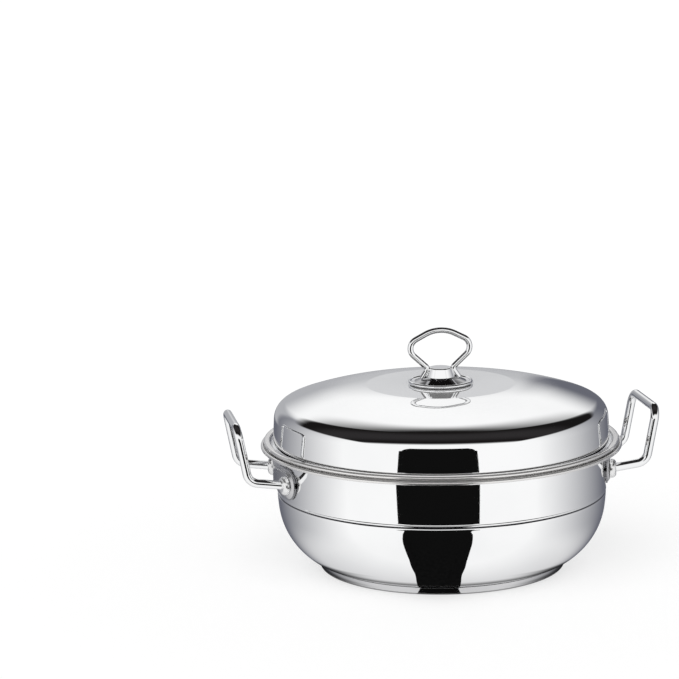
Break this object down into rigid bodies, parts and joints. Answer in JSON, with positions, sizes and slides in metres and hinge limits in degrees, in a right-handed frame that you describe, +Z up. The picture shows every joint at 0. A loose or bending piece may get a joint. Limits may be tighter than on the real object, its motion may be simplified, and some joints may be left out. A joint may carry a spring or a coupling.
{
  "type": "steamer pot",
  "caption": "Round steel steamer pot with a thick flat base, bent-wire side handles, a domed lid with a wire loop knob, and stacked steaming plates on black moulded tees inside.",
  "frame": {"origin": "centre of the base's underside, on the surface that the pot stands on", "axes": "+Z up along the pot's axis, +X towards the right-hand handle, +Y away from the viewer"},
  "size_m": [0.318, 0.2676, 0.1783],
  "materials": {
    "polished_steel": "mirror-polished stainless steel",
    "wire_steel": "polished stainless steel wire, faintly drawn",
    "plate_steel": "bright pressed stainless steel with a faint spun grain",
    "spreader_aluminium": "plain aluminium plate, sealed in the base",
    "black_moulding": "black phenolic moulding, half gloss"
  },
  "bodies": {
    "pot": {"pot_body": "polished_steel", "base_cap": "polished_steel", "base_core": "spreader_aluminium", "right_handle_bracket": "polished_steel", "right_handle_wire": "wire_steel", "right_handle_collar_1": "wire_steel", "right_handle_collar_2": "wire_steel", "left_handle_bracket": "polished_steel", "left_handle_wire": "wire_steel", "left_handle_collar_1": "wire_steel", "left_handle_collar_2": "wire_steel"},
    "lid": {"lid_shell": "polished_steel", "knob_base": "polished_steel", "knob_loop": "wire_steel"},
    "lower_plate": {"lower_plate_dish": "plate_steel", "lower_plate_tee_1": "black_moulding", "lower_plate_tee_2": "black_moulding", "lower_plate_tee_3": "black_moulding", "lower_plate_rivet_1": "wire_steel", "lower_plate_rivet_2": "wire_steel", "lower_plate_rivet_3": "wire_steel"},
    "upper_plate": {"upper_plate_dish": "plate_steel", "upper_plate_tee_1": "black_moulding", "upper_plate_tee_2": "black_moulding", "upper_plate_tee_3": "black_moulding", "upper_plate_rivet_1": "wire_steel", "upper_plate_rivet_2": "wire_steel", "upper_plate_rivet_3": "wire_steel"}
  },
  "joints": [
    {"name": "lid_lift", "type": "slide", "parent": "pot", "child": "lid", "axis": [0, 0, 1], "range_m": [0, 0.2]},
    {"name": "lower_plate_lift", "type": "slide", "parent": "pot", "child": "lower_plate", "axis": [0, 0, 1], "range_m": [0, 0.015]},
    {"name": "upper_plate_lift", "type": "slide", "parent": "lower_plate", "child": "upper_plate", "axis": [0, 0, 1], "range_m": [0, 0.021]}
  ]
}
